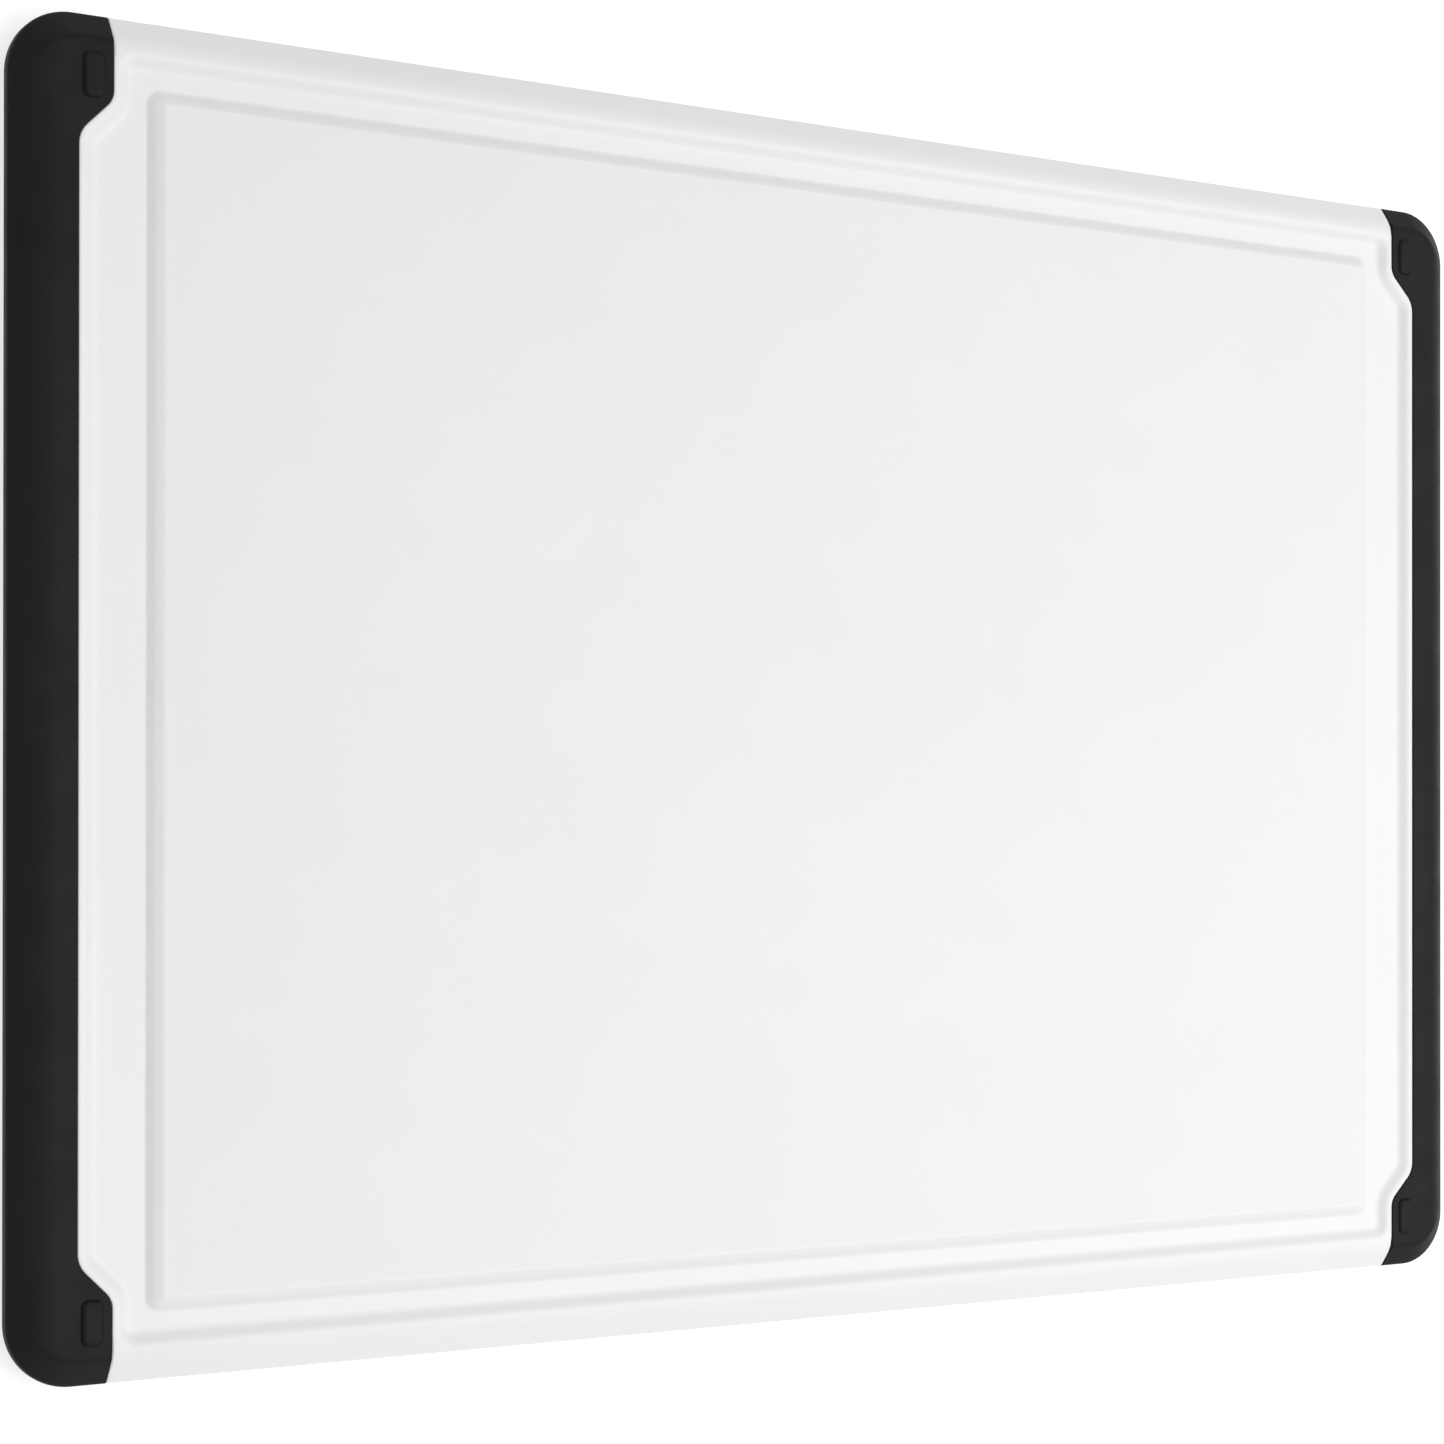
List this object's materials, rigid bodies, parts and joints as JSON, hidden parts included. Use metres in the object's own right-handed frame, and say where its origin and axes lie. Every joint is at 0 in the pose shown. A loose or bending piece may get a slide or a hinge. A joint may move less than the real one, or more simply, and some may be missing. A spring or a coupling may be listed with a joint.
{
  "type": "cutting board",
  "caption": "White plastic cutting board with a juice groove, tapered edges and soft black non-slip grips moulded over both short ends.",
  "frame": {"origin": "middle of the board's length and width, at the level its feet stand on", "axes": "+Z out of the grooved cutting face, +X along the board's length towards the right grip, +Y across the board"},
  "size_m": [0.433, 0.31, 0.0135],
  "materials": {
    "white_board": "fine satin cutting face, smoother groove and edges",
    "black_grip": "matt soft-touch elastomer"
  },
  "bodies": {
    "root": {"board_core": "white_board", "left_grip": "black_grip", "right_grip": "black_grip"}
  },
  "joints": []
}
